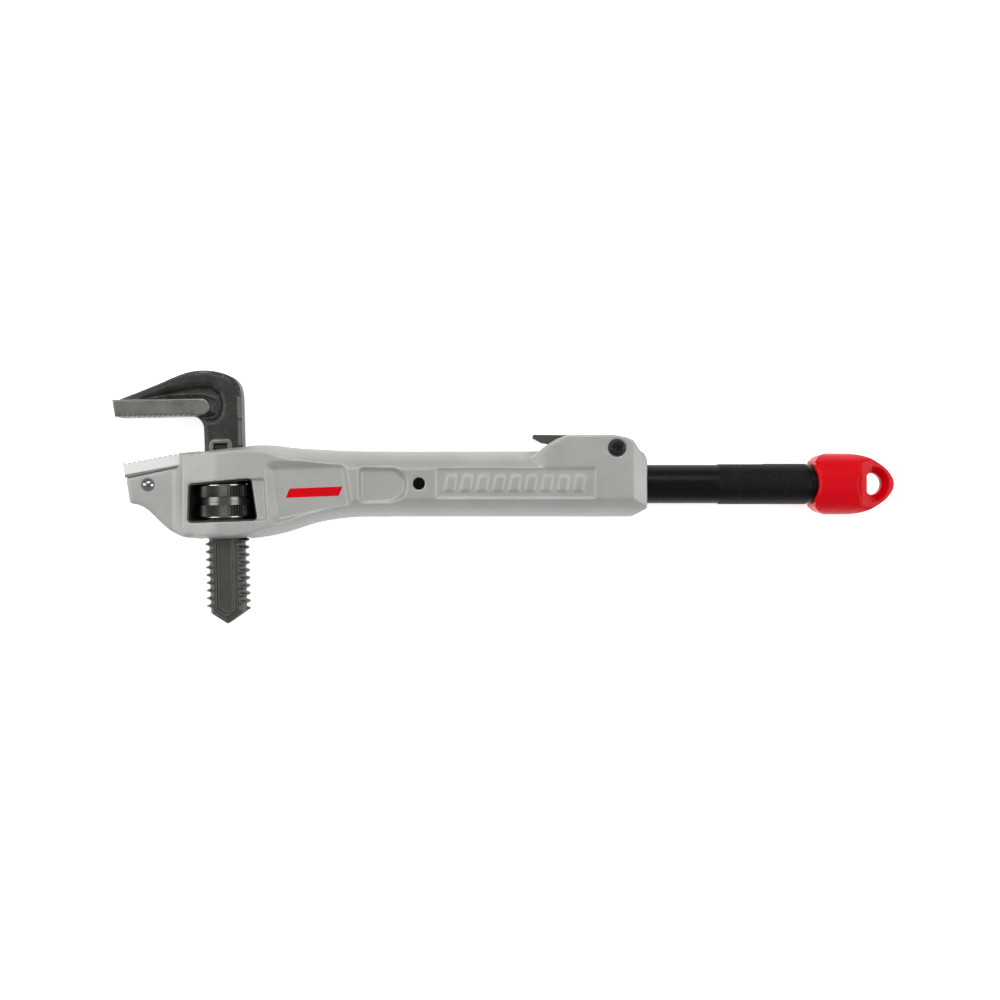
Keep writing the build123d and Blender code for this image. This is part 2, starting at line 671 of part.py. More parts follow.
with BuildPart() as hook_jaw:
    # threaded part of the shank: root cylinder with two flats
    with BuildSketch(shank_station(point_low)):
        Circle(root_radius)
    extrude(amount=thread_high - point_low)
    # plain part of the shank and the hook, bevelled all round
    add(hook_blank.part)
    # flats
    with BuildSketch(jaw_plane):
        Rectangle(180, 180)
    extrude(amount=shank_half_thickness, both=True, mode=Mode.INTERSECT)
    # thread ridges on both edges of the shank
    ridge_count = int((thread_high - thread_low) // pitch)
    ridge_locations = [
        Location((-tilt_sin * (thread_low + pitch * n), tilt_cos * (thread_low + pitch * n), 0))
        for n in range(ridge_count)
    ]
    add([ridge_pair.part.moved(place) for place in ridge_locations])
    # pointed lower end
    add(point_blank.part, mode=Mode.INTERSECT)
    # machined pad with cut teeth
    with BuildSketch(jaw_plane):
        with BuildLine():
            Polyline(*toothed_line((-61.6, 50.1), (-16.0, 50.1), tooth_depth, tooth_pitch))
            Line((-16.0, 50.1), (-11.5, 50.1))
            ThreePointArc((-11.5, 50.1), (-6.65, 54.95), (-11.5, 59.8))
            Polyline((-11.5, 59.8), (-63.0, 60.3), (-61.6, 50.1))
        make_face()
    extrude(amount=pad_half_thickness, both=True)
    # hollow behind the pad, on both faces
    for cutter in hollow_cutters:
        add(cutter, mode=Mode.SUBTRACT)
    # keep the pad whole where the hollow meets it
    with BuildSketch(jaw_plane):
        with BuildLine():
            Line((-16.0, 50.1), (-11.5, 50.1))
            ThreePointArc((-11.5, 50.1), (-6.65, 54.95), (-11.5, 59.8))
            Polyline((-11.5, 59.8), (-50.0, 60.15), (-50.0, 51.2), (-16.0, 51.2), (-16.0, 50.1))
        make_face()
    extrude(amount=pad_half_thickness, both=True)
    # channel along the shank
    for side in (1, -1):
        with BuildSketch(jaw_level(side * (shank_half_thickness - 1.7))):
            Polygon(
                (-5.0, 12.0), (-5.0, -62.0), (-0.6, -65.6), (3.8, -62.0), (3.8, 12.0), align=None,
            )
            fillet(vertices().sort_by(Axis.Y)[:3], 0.8)
        extrude(amount=side * 4.0, taper=-12, mode=Mode.SUBTRACT)
    # rimmed pocket on the plain part of the shank
    for side in (1, -1):
        with BuildSketch(jaw_level(side * (shank_half_thickness - 0.2))):
            with Locations((-1.0, 28.0)):
                RectangleRounded(12.6, 15.4, 2.4)
        extrude(amount=side * 0.8)
        with BuildSketch(jaw_level(side * (shank_half_thickness - 1.8))):
            with Locations((-1.0, 28.0)):
                RectangleRounded(8.4, 11.0, 1.0)
        extrude(amount=side * 6.0, mode=Mode.SUBTRACT)

# ---------------------------------------------------------------- nut and its washers

def knurl_outline(radius):
    """Outline of a straight-knurled disc."""
    points = []
    for number in range(2 * knurl_count):
        angle = math.pi * number / knurl_count
        reach = radius if number % 2 == 0 else radius - knurl_depth
        points.append((reach * math.cos(angle), reach * math.sin(angle)))
    return points


nut_start = -nut_height / 2 + 1.5
nut_phase = ((nut_start - thread_low) / pitch + 0.5) % 1.0
nut_ridge = thread_ridge(nut_bore_radius + 0.25, nut_thread_radius, 2.6, 1.3, nut_height - 3.0)
with BuildPart() as knurled_nut:
    with BuildSketch(shank_station(-nut_height / 2)):
        Circle(nut_neck_radius)
    extrude(amount=nut_height)
    for low in (-nut_height / 2, nut_height / 2 - nut_band):
        with BuildSketch(shank_station(low)):
            Polygon(*knurl_outline(nut_radius), align=None)
        extrude(amount=nut_band)
    with BuildSketch(shank_station(-nut_height / 2 - 1)):
        Circle(nut_bore_radius)
    extrude(amount=nut_height + 2, mode=Mode.SUBTRACT)
    add(shank_station(nut_start) * Rot(0, 0, 360.0 * nut_phase) * nut_ridge)

with BuildPart() as thrust_washers:
    for side in (1, -1):
        level = side * (nut_height / 2 + washer_gap)
        with BuildSketch(shank_station(level)):
            Circle(14.0)
            Circle(13.05, mode=Mode.SUBTRACT)
        extrude(amount=side * washer_thickness)

# ---------------------------------------------------------------- tube and end cap

with BuildPart() as extension_tube:
    with BuildSketch(station(tube_start)):
        Circle(tube_radius)
    extrude(amount=grip_start - tube_start)
    with BuildSketch(station(grip_start)):
        Polygon(*knurl_outline(grip_radius), align=None)
    extrude(amount=grip_end - grip_start)
    with BuildSketch(station(grip_end)):
        Circle(tube_radius)
    extrude(amount=tube_end - grip_end)
    with BuildSketch(station(tube_start)):
        Circle(tube_inner)
    extrude(amount=tube_end - tube_start, mode=Mode.SUBTRACT)
    # seat for the glide ring
    with BuildSketch(station(tube_start - 1)):
        Circle(tube_radius + 1)
        Circle(tube_radius - glide_seat, mode=Mode.SUBTRACT)
    extrude(amount=glide_length + 1.0, mode=Mode.SUBTRACT)
    # keyway for the lever tooth, with round lock pockets along its floor
    with BuildSketch(middle):
        with Locations(((groove_start + groove_end) / 2, groove_floor + 3)):
            Rectangle(groove_end - groove_start, 6)
    extrude(amount=tooth_half + keyway_clearance, both=True, mode=Mode.SUBTRACT)
    with BuildSketch(Plane(origin=(0, groove_floor, mid_height), x_dir=(1, 0, 0), z_dir=(0, -1, 0))):
        with Locations((pocket_first + pocket_step * (pocket_count - 1) / 2, 0)):
            with GridLocations(pocket_step, 1, pocket_count, 1):
                Circle(pocket_radius)
    extrude(amount=pocket_depth, mode=Mode.SUBTRACT)
    # hole for the pin that holds the end cap
    with BuildSketch(cap_pin_plane):
        Circle(cap_pin_radius + 0.02)
    extrude(amount=20.0, both=True, mode=Mode.SUBTRACT)

with BuildPart() as tube_glide:
    with BuildSketch(station(tube_start - 0.02)):
        Circle(bore_radius - 0.06)
        Circle(tube_radius - glide_seat + 0.02, mode=Mode.SUBTRACT)
    extrude(amount=glide_length)

# half of the cap's outline from its mouth to its nose, and its thickness at the same places
cap_outline = [
    (342.6, 13.2), (345.2, 16.1), (350.0, cap_half_height), (366.5, 17.5), (373.0, 15.9),
    (379.0, 12.8), (384.5, 9.0), (387.8, 5.2), (389.3, 2.2), (cap_end, 0.0),
]
cap_profile = [
    (342.6, 13.2), (346.5, cap_half_thickness), (366.4, cap_half_thickness), (369.6, 10.4), (cap_end, 6.0),
]
loop_left = 372.8
loop_floor = 2.6            # half thickness of the straight part of the loop's hole
loop_top = 9.0


def loop_outline(level, half, right):
    """D-shaped outline of the lanyard loop, flat towards the tube."""
    with BuildSketch(middle.offset(level)) as outline:
        with BuildLine():
            Line((loop_left, half), (loop_left, -half))
            ThreePointArc((loop_left, -half), (right, 0), (loop_left, half))
        make_face()
    return outline.sketch


loop_flares = [
    [loop_outline(side * loop_floor, 5.0, 383.2), loop_outline(side * loop_top, 8.6, 388.3)]
    for side in (1, -1)
]
loop_through = loop_outline(0, 5.0, 383.2)

with BuildPart() as end_cap:
    with BuildSketch(station(cap_front - 0.5)):
        Ellipse(cap_half_height, cap_half_thickness)
    extrude(amount=cap_end - cap_front + 0.5)
    with BuildSketch(middle):
        with BuildLine():
            Spline(*cap_outline[2:], *[(x, -y) for x, y in cap_outline[-2:1:-1]])
            Polyline(
                *[(x, -y) for x, y in cap_outline[2::-1]], *cap_outline[:3],
            )
        make_face()
    extrude(amount=cap_half_thickness, both=True, mode=Mode.INTERSECT)
    with BuildSketch(Plane.XZ.offset(60)):
        Polygon(
            *[(x, mid_height - half) for x, half in cap_profile],
            *[(x, mid_height + half) for x, half in cap_profile[::-1]], align=None,
        )
    extrude(amount=-120, mode=Mode.INTERSECT)
    # lanyard loop, open through both faces and flared towards them
    extrude(loop_through, amount=20, both=True, mode=Mode.SUBTRACT)
    for flare in loop_flares:
        loft(flare, mode=Mode.SUBTRACT)
    # bore for the tube
    with BuildSketch(station(340.0)):
        Circle(tube_radius + 0.02)
    extrude(amount=tube_end + 0.3 - 340.0, mode=Mode.SUBTRACT)
    with BuildSketch(cap_pin_plane):
        Circle(cap_pin_radius + 0.02)
    extrude(amount=cap_pin_half + 0.2, both=True, mode=Mode.SUBTRACT)
    # scooped front rim
    with BuildSketch(middle):
        with Locations((333.4, 0)):
            Ellipse(10.9, 15.2)
    extrude(amount=30, both=True, mode=Mode.SUBTRACT)

with BuildPart() as cap_pin:
    with BuildSketch(cap_pin_plane):
        Circle(cap_pin_radius)
    extrude(amount=cap_pin_half, both=True)

# ---------------------------------------------------------------- export

named_parts = {
    "handle_body": handle_body,
    "heel_jaw": heel_jaw,
    "heel_jaw_pin": heel_jaw_pin,
    "window_liner": window_liner,
    "float_shoe": float_shoe,
    "float_coil_spring": float_coil_spring,
    "float_leaf_spring": float_leaf_spring,
    "mouth_bushing": mouth_bushing,
    "mouth_snap_ring": mouth_snap_ring,
    "lever_pivot_screw": lever_pivot_screw,
    "lever_pivot_nut": lever_pivot_nut,
    "lever_spring": lever_spring,
    "release_lever": release_lever,
    "hook_jaw": hook_jaw,
    "knurled_nut": knurled_nut,
    "thrust_washers": thrust_washers,
    "extension_tube": extension_tube,
    "tube_glide": tube_glide,
    "end_cap": end_cap,
    "cap_pin": cap_pin,
}

os.makedirs("parts", exist_ok=True)
for label, built in named_parts.items():
    built.part.label = label
    export_step(built.part, f"parts/{label}.step")
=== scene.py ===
import json
import math

import bmesh
import bpy
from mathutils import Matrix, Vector


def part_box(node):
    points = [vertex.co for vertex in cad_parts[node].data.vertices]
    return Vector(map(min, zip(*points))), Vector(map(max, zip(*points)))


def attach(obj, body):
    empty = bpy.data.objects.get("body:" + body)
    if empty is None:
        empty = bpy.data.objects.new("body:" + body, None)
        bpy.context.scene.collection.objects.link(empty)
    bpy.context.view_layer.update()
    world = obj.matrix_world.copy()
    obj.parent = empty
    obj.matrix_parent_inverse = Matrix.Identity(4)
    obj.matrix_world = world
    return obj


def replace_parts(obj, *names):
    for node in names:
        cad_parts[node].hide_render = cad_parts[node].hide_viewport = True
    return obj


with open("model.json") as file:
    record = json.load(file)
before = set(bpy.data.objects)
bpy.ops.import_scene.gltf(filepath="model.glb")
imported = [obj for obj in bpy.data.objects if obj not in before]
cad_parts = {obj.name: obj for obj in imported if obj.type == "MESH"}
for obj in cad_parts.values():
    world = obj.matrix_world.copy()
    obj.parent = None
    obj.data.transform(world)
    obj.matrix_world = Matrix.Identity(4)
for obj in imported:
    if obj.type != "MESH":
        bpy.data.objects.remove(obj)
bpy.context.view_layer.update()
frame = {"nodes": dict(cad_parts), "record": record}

# ---------------------------------------------------------------- sizes, in metres

MM = 0.001
MID = 0.018                 # height of the wrench's middle plane above the bench

FLOOR_HALF = 4.0
FLOOR_DROP = 0.0005         # keeps the floor just clear of the bench face
FLOOR_GLOW = 0.62
SIDE_GLOW, TOP_GLOW = 0.46, 0.29
FADE_START, FADE_END = 0.45, 0.97   # heights in the sky where the tent starts and stops dimming
CAMERA_SPOT = (0.1603, -0.0094)
CAMERA_DISTANCE = 0.80
VIEW_WIDTH = 0.586          # what the picture shows at the middle plane
SENSOR = 36.0
EDGE_BREAK = 0.18 * MM      # on the machined pieces that keep their CAD mesh

JAW_TILT = math.radians(1.45)
NUT_MIDDLE = (0.0, -0.010)  # centre of the nut, where the jaw's own directions start
NUT_NECK_HALF = 2.35 * MM
NECK_FADE = 0.1 * MM
PAD_STEP = (7.65 * MM, 8.0 * MM)            # off the middle plane: side of the hook, side of the pad
TOOTH_TOP = (50.9 * MM, 51.2 * MM)          # along the shank: where the teeth give way to the black hook
TOOTH_TIPS = (48.0 * MM, 48.4 * MM)
TEETH_END = (-13.5 * MM, -14.5 * MM)        # across the shank: the end of the teeth beside the hook
SHANK_FADE = (12.0 * MM, 0.0)               # along the shank: below this its faces are paler
NUT_PAINTED_SHADE = (4.0 * MM, 13.5 * MM)           # across the nut: painted shade darkens its far side, away from the side light

INSERT_RIGHT = (-25.1 * MM, 17.9 * MM)      # ends of the heel insert's tooth line
INSERT_LEFT = (-58.1 * MM, 11.8 * MM)
INSERT_SIDE = (-7.1 * MM, -6.5 * MM)        # below the tooth line: where the ground side ends
INSERT_TIPS = (-1.0 * MM, -0.2 * MM)

STRIPE_CORNERS = [(37.0, -8.2), (67.5, -7.0), (69.8, -1.6), (39.2, -2.8)]   # in millimetres
PANEL_FLOOR = 14.6 * MM     # above the middle plane
STRIPE_PROUD, STRIPE_THICK = 0.12 * MM, 0.3 * MM
STRIPE_CORNER_RADIUS = 0.9 * MM

TUBE_RADIUS = 11.4 * MM
GRIP_RADIUS = 11.9 * MM
TUBE_INNER = 8.0 * MM
GRIP_LOW, GRIP_HIGH = 287.4 * MM, 339.6 * MM
GRIP_LEAD = 0.6 * MM        # length of the slope at each end of the grip
KEYWAY_LOW, KEYWAY_HIGH = 209.0 * MM, 314.3 * MM
KEYWAY_FLOOR = 9.9 * MM
KEYWAY_HALF = 2.25 * MM     # a little more than the CAD's, as the mesh rounds the sides inwards
POCKET_FIRST, POCKET_STEP, POCKET_COUNT = 213.8 * MM, 24.0 * MM, 5
POCKET_RADIUS, POCKET_DEPTH = 2.1 * MM, 1.1 * MM
KNURL_PITCH, KNURL_DEPTH = 1.25 * MM, 0.28 * MM
TUBE_STEPS = 300            # cells round the tube
FINE_CELL, PLAIN_CELL = 0.28 * MM, 0.7 * MM     # cells along the grip and along the plain tube
RIM_LENGTH, RIM_BREAK = 0.6 * MM, 0.3 * MM      # eased edge at each end of the tube

# ---------------------------------------------------------------- material helpers


def grey(red, green=None, blue=None):
    """Colour from 0-255 display values to linear light."""
    green = red if green is None else green
    blue = red if blue is None else blue

    def one(value):
        value /= 255.0
        return value / 12.92 if value <= 0.04045 else ((value + 0.055) / 1.055) ** 2.4
    return (one(red), one(green), one(blue), 1.0)


class Graph:
    """Short names for building one material's node tree."""

    def __init__(self, name):
        self.material = bpy.data.materials.new(name)
        self.material.use_nodes = True
        self.tree = self.material.node_tree
        self.shader = self.tree.nodes["Principled BSDF"]
        self.place = self.node("ShaderNodeTexCoord").outputs["Object"]
        parts = self.node("ShaderNodeSeparateXYZ", Vector=self.place)
        self.x, self.y, self.z = parts.outputs
        self.edge = self.node("ShaderNodeNewGeometry").outputs["Pointiness"]

    def node(self, kind, **inputs):
        made = self.tree.nodes.new(kind)
        for key, value in inputs.items():
            self.put(made.inputs[key.replace("_", " ")], value)
        return made

    def put(self, socket, value):
        if isinstance(value, bpy.types.NodeSocket):
            self.tree.links.new(value, socket)
        else:
            socket.default_value = value

    def noise(self, scale, detail=3.0, roughness=0.55, stretch=(1, 1, 1)):
        """Soft noise; scale is in cells for each metre."""
        mapping = self.node("ShaderNodeMapping", Vector=self.place)
        mapping.inputs["Scale"].default_value = stretch
        made = self.node("ShaderNodeTexNoise", Vector=mapping.outputs["Vector"])
        made.inputs["Scale"].default_value = scale
        made.inputs["Detail"].default_value = detail
        made.inputs["Roughness"].default_value = roughness
        return made.outputs["Fac"]

    def specks(self, scale, low, high):
        """Small scattered pits: 1 in a pit, 0 elsewhere."""
        made = self.node("ShaderNodeTexVoronoi", Vector=self.place)
        made.inputs["Scale"].default_value = scale
        return self.ramp(made.outputs["Distance"], low, high, 1.0, 0.0)

    def ramp(self, fac, low, high, low_value=0.0, high_value=1.0):
        made = self.node("ShaderNodeMapRange", Value=fac)
        made.inputs["From Min"].default_value = low
        made.inputs["From Max"].default_value = high
        made.inputs["To Min"].default_value = low_value
        made.inputs["To Max"].default_value = high_value
        return made.outputs["Result"]

    def math(self, operation, a, b=0.0):
        made = self.node("ShaderNodeMath")
        made.operation = operation
        self.put(made.inputs[0], a)
        self.put(made.inputs[1], b)
        return made.outputs["Value"]

    def both(self, a, b):
        return self.math("MULTIPLY", a, b)

    def either(self, a, b):
        return self.math("MAXIMUM", a, b)

    def height_off_middle(self):
        return self.math("ABSOLUTE", self.math("SUBTRACT", self.z, MID))

    def jaw_place(self):
        """Position across and along the jaw's shank, from the nut's centre."""
        lean, rise = math.sin(JAW_TILT), math.cos(JAW_TILT)
        up = self.math("SUBTRACT", self.y, NUT_MIDDLE[1])
        across = self.math("ADD", self.both(self.x, rise), self.both(up, lean))
        along = self.math("SUBTRACT", self.both(up, rise), self.both(self.x, lean))
        return across, along

    def mix(self, fac, a, b):
        made = self.tree.nodes.new("ShaderNodeMix")
        made.data_type = "RGBA"
        self.put(made.inputs["Factor"], fac)
        self.put(made.inputs["A"], a)
        self.put(made.inputs["B"], b)
        return made.outputs["Result"]

    def bump(self, height, distance, strength=1.0, under=None):
        made = self.node("ShaderNodeBump", Height=height)
        made.inputs["Distance"].default_value = distance
        made.inputs["Strength"].default_value = strength
        if under is not None:
            self.put(made.inputs["Normal"], under)
        return made.outputs["Normal"]

    def finish(self, colour, roughness, metallic=0.0, normal=None, **constants):
        self.put(self.shader.inputs["Base Color"], colour)
        self.put(self.shader.inputs["Roughness"], roughness)
        self.put(self.shader.inputs["Metallic"], metallic)
        if normal is not None:
            self.put(self.shader.inputs["Normal"], normal)
        for key, value in constants.items():
            self.shader.inputs[key.replace("_", " ")].default_value = value
        return self.material


# ---------------------------------------------------------------- materials


def cast_aluminium():
    """Bead-blasted casting: fine grain, cloudy tone, pits, rubbed edges, and darker in the corners."""
    g = Graph("cast_aluminium")
    grain = g.noise(2400.0, 2.0, 0.6)
    sand = g.noise(900.0, 3.0, 0.6)
    cloud = g.noise(40.0, 4.0, 0.6)
    pits = g.both(g.specks(700.0, 0.06, 0.16), g.ramp(g.noise(180.0, 2.0), 0.5, 0.62))
    colour = g.mix(g.ramp(cloud, 0.35, 0.65), grey(172, 172, 169), grey(164, 164, 161))
    colour = g.mix(g.ramp(grain, 0.35, 0.7, 0.0, 0.3), colour, grey(146, 146, 143))
    colour = g.mix(g.ramp(g.edge, 0.515, 0.56, 0.0, 0.6), colour, grey(205, 205, 203))
    # darker where pointiness is low, in the corners and hollows
    colour = g.mix(g.ramp(g.edge, 0.49, 0.44, 0.0, 0.5), colour, grey(120, 119, 116))
    colour = g.mix(g.both(pits, 0.6), colour, grey(96, 95, 92))
    rough = g.ramp(grain, 0.3, 0.7, 0.40, 0.56)
    normal = g.bump(sand, 0.18 * MM, 0.35)
    normal = g.bump(grain, 0.08 * MM, 0.5, normal)
    normal = g.bump(g.math("SUBTRACT", 1.0, pits), 0.15 * MM, 0.5, normal)
    return g.finish(colour, rough, 0.35, normal)


def forged_jaw():
    """Black-oxide forging with scale marks; the toothed pad is ground bare."""
    g = Graph("forged_jaw")
    across, along = g.jaw_place()
    proud = g.ramp(g.height_off_middle(), *PAD_STEP)
    below_hook = g.ramp(along, TOOTH_TOP[1], TOOTH_TOP[0])
    tooth_rows = g.both(g.ramp(along, *TOOTH_TIPS), g.ramp(across, *TEETH_END))
    pad = g.either(proud, g.both(below_hook, tooth_rows))
    grain = g.noise(1800.0, 3.0, 0.6)
    blotch = g.noise(110.0, 5.0, 0.65)
    scratches = g.noise(260.0, 2.0, 0.5, (1.0, 14.0, 1.0))
    dark = g.mix(g.ramp(blotch, 0.35, 0.7), grey(46, 46, 44), grey(62, 62, 59))
    dark = g.mix(g.ramp(scratches, 0.58, 0.7, 0.0, 0.35), dark, grey(108, 108, 103))
    dark = g.mix(g.ramp(g.edge, 0.53, 0.60, 0.0, 0.5), dark, grey(128, 127, 121))
    dark = g.mix(g.ramp(g.edge, 0.48, 0.42, 0.0, 0.7), dark, grey(38, 38, 35))
    ground = g.mix(g.ramp(g.noise(60.0, 3.0), 0.35, 0.65), grey(106, 106, 101), grey(134, 133, 128))
    grinding = g.noise(500.0, 3.0, 0.6, (1.0, 5.0, 1.0))
    ground = g.mix(g.ramp(grinding, 0.55, 0.75, 0.0, 0.5), ground, grey(90, 89, 84))
    # the shank's faces are made paler below the nut
    shank = g.ramp(along, *SHANK_FADE)
    dark = g.mix(g.both(shank, 0.4), dark, grey(108, 108, 103))
    colour = g.mix(pad, dark, ground)
    rough = g.math("ADD", g.ramp(grain, 0.3, 0.7, 0.34, 0.50), g.both(pad, -0.08))
    normal = g.bump(g.noise(420.0, 4.0, 0.6), 0.22 * MM, 0.45)
    normal = g.bump(grain, 0.06 * MM, 0.45, normal)
    return g.finish(colour, rough, 0.7, normal)


def hard_insert():
    """Bright plated strip, its side ground along its length, darker below the ground face."""
    g = Graph("hard_insert")
    slope = (INSERT_RIGHT[1] - INSERT_LEFT[1]) / (INSERT_RIGHT[0] - INSERT_LEFT[0])
    tooth_line = g.math("ADD", g.both(g.x, slope), INSERT_RIGHT[1] - INSERT_RIGHT[0] * slope)
    above = g.math("SUBTRACT", g.y, tooth_line)
    shade = g.ramp(above, *INSERT_SIDE)
    brushed = g.noise(700.0, 3.0, 0.6, (0.15, 1.0, 1.0))
    colour = g.mix(g.ramp(brushed, 0.35, 0.7), grey(252, 252, 250), grey(234, 234, 230))
    colour = g.mix(shade, grey(138, 137, 132), colour)
    colour = g.mix(g.both(g.specks(420.0, 0.05, 0.13), 0.3), colour, grey(150, 148, 142))
    tip = g.ramp(above, *INSERT_TIPS)
    colour = g.mix(g.both(tip, g.ramp(g.noise(330.0, 2.0), 0.4, 0.6, 0.3, 1.0)), colour, grey(120, 119, 113))
    normal = g.bump(brushed, 0.03 * MM, 0.4)
    return g.finish(colour, g.ramp(brushed, 0.3, 0.7, 0.22, 0.38), 0.45, normal)


def metal(name, light, dark, roughness, metallic, brush=(1.0, 1.0, 1.0), worn=None, **constants):
    """Machined or coated metal with brushed grain, blotches and fine scratches."""
    g = Graph(name)
    brushed = g.noise(1300.0, 3.0, 0.6, brush)
    blotch = g.noise(140.0, 4.0, 0.6)
    colour = g.mix(g.ramp(blotch, 0.35, 0.68), light, dark)
    colour = g.mix(g.ramp(brushed, 0.55, 0.75, 0.0, 0.4), colour, worn or light)
    if worn:
        colour = g.mix(g.ramp(g.edge, 0.53, 0.62, 0.0, 0.6), colour, worn)
    rough = g.ramp(brushed, 0.3, 0.7, roughness * 0.8, roughness * 1.25)
    normal = g.bump(brushed, 0.03 * MM, 0.45)
    normal = g.bump(blotch, 0.10 * MM, 0.12, normal)
    return g.finish(colour, rough, metallic, normal, **constants)


def nut_steel():
    """Dark oiled steel bands with rubbed knurl tips, a paler turned neck, and painted shade darkening the
    far side.
    """
    g = Graph("nut_steel")
    across, along = g.jaw_place()
    neck = g.ramp(g.math("ABSOLUTE", along), NUT_NECK_HALF + NECK_FADE, NUT_NECK_HALF - NECK_FADE)
    turned = g.noise(1500.0, 2.0, 0.5, (0.05, 1.0, 0.05))
    blotch = g.noise(150.0, 4.0, 0.6)
    bands = g.mix(g.ramp(blotch, 0.35, 0.65), grey(50, 49, 46), grey(34, 34, 31))
    bands = g.mix(g.ramp(g.edge, 0.52, 0.62, 0.0, 0.5), bands, grey(88, 86, 82))
    # painted shade: the nut's far side is darkened, as if turned away from the light
    bands = g.mix(g.ramp(across, *NUT_PAINTED_SHADE, 0.0, 0.7), bands, grey(26, 26, 24))
    paler = g.mix(g.ramp(turned, 0.35, 0.65), grey(112, 111, 106), grey(82, 81, 76))
    colour = g.mix(neck, bands, paler)
    rough = g.math("ADD", g.ramp(turned, 0.3, 0.7, 0.28, 0.42), g.both(neck, -0.08))
    return g.finish(colour, rough, 0.75, g.bump(turned, 0.04 * MM, 0.5))


def moulded(name, light, dark, roughness, **constants):
    """Moulded plastic: faint orange peel, finger marks in the gloss, and small scuffs."""
    g = Graph(name)
    peel = g.noise(520.0, 2.0, 0.5)
    marks = g.noise(70.0, 4.0, 0.65)
    scuffs = g.ramp(g.noise(900.0, 3.0, 0.6, (1.0, 6.0, 1.0)), 0.66, 0.74, 0.0, 0.25)
    colour = g.mix(g.ramp(marks, 0.3, 0.7), light, dark)
    colour = g.mix(scuffs, colour, tuple(0.5 * c + 0.25 for c in light[:3]) + (1.0,))
    rough = g.math("ADD", g.ramp(marks, 0.3, 0.7, roughness * 0.8, roughness * 1.4), g.both(scuffs, 0.3))
    return g.finish(colour, rough, 0.0, g.bump(peel, 0.02 * MM, 0.3), **constants)


paints = {
    "cast_body": cast_aluminium(),
    "forged_jaw": forged_jaw(),
    "hard_insert": hard_insert(),
    "bright_pin": metal("bright_pin", grey(150), grey(122), 0.12, 1.0),
    "liner_black": metal("liner_black", grey(30, 30, 29), grey(20, 20, 19), 0.4, 0.2, worn=grey(96, 95, 90)),
    "nut_steel": nut_steel(),
    "spring_steel": metal("spring_steel", grey(150), grey(120), 0.28, 0.9, worn=grey(190)),
    "bearing_plastic": moulded("bearing_plastic", grey(34), grey(26), 0.4),
    "black_screw": metal("black_screw", grey(34), grey(22), 0.32, 0.5, worn=grey(110)),
    "lever_black": metal("lever_black", grey(34, 34, 33), grey(22, 22, 22), 0.34, 0.5,
                         worn=grey(120, 118, 112)),
    "tube_black": metal("tube_black", grey(17, 17, 18), grey(11, 11, 12), 0.30, 0.0, (0.6, 1.0, 1.0),
                        worn=grey(36, 36, 37), Specular_IOR_Level=0.12),
    "cap_red": moulded("cap_red", grey(214, 4, 22), grey(198, 2, 18), 0.24, Specular_IOR_Level=0.12,
                       Coat_Weight=0.0),
}
slots = {entry["node"]: entry["material_slot"] for entry in frame["record"]["subparts"]}
for node, thing in frame["nodes"].items():
    thing.data.materials.clear()
    thing.data.materials.append(paints[slots[node]])

# ---------------------------------------------------------------- soft cast, forged and moulded skins


def new_object(name, data, body, slot):
    """Links a new piece that rides on a body and takes one of the record's finishes."""
    thing = bpy.data.objects.new(name, data)
    bpy.context.scene.collection.objects.link(thing)
    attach(thing, body)
    data.materials.clear()
    data.materials.append(paints[slot])
    return thing


def remeshed(node, voxel):
    """Mesh of a CAD node rebuilt in even small cells, in the shared frame."""
    source = frame["nodes"][node]
    copy = bpy.data.objects.new("remesh_source", source.data.copy())
    copy.data.transform(source.matrix_world)
    bpy.context.scene.collection.objects.link(copy)
    remesh = copy.modifiers.new("remesh", "REMESH")
    remesh.mode = "VOXEL"
    remesh.voxel_size = voxel
    graph = bpy.context.evaluated_depsgraph_get()
    made = bpy.data.meshes.new_from_object(copy.evaluated_get(graph))
    bpy.data.objects.remove(copy)
    made.name = node + "_skin"
    return made


def skin(node, body, voxel, rounds, soft_rounds=0, is_soft=None):
    """Replaces a CAD node by the same shape with rounded edges, more rounded where is_soft says so."""
    data = remeshed(node, voxel)
    data.shade_smooth()
    thing = new_object(node + "_skin", data, body, slots[node])
    smooth = thing.modifiers.new("round_edges", "SMOOTH")
    smooth.factor = 0.5
    smooth.iterations = rounds
    if is_soft:
        group = thing.vertex_groups.new(name="soft")
        group.add([v.index for v in data.vertices if is_soft(*(c / MM for c in v.co))], 1.0, "REPLACE")
        softer = thing.modifiers.new("blend_shapes", "SMOOTH")
        softer.factor = 0.5
        softer.iterations = soft_rounds
        softer.vertex_group = "soft"
    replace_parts(thing, node)


def body_is_soft(x, y, z):
    """Heel blend, foot of the lever hump and the crease down the housing, in millimetres."""
    level = abs(z - MID / MM)
    beside_window = x > -24.0 and -26.0 < y < 3.0
    heel = x < -15.0 and not beside_window
    hump = 168.0 < x < 200.0 and 9.0 < y < 27.0 and level > 6.8
    crease = -8.5 < x < 3.5 and level > 16.0 and not -24.0 < y < 3.5
    return heel or hump or crease


def hook_is_soft(x, y, z):
    """Dished hollow behind the toothed pad, in millimetres."""
    across = x * math.cos(JAW_TILT) + (y - NUT_MIDDLE[1] / MM) * math.sin(JAW_TILT)
    along = (y - NUT_MIDDLE[1] / MM) * math.cos(JAW_TILT) - x * math.sin(JAW_TILT)
    level = abs(z - MID / MM)
    near_pad = across < -5.6 and 49.0 < along < 60.7
    return 3.0 < level < 7.62 and 44.5 < along < 71.0 and -52.0 < across < 3.5 and not near_pad


skin("handle_body", "handle", 0.60 * MM, rounds=4, soft_rounds=30, is_soft=body_is_soft)
skin("hook_jaw", "jaw", 0.40 * MM, rounds=3, soft_rounds=40, is_soft=hook_is_soft)
skin("end_cap", "tube", 0.36 * MM, rounds=8)


def ease(node):
    """Breaks the sharp edges of a machined node by a small width."""
    bevel = frame["nodes"][node].modifiers.new("edge_break", "BEVEL")
    bevel.width = EDGE_BREAK
    bevel.segments = 2
    bevel.limit_method = "ANGLE"
    bevel.angle_limit = math.radians(40)
    bevel.harden_normals = False


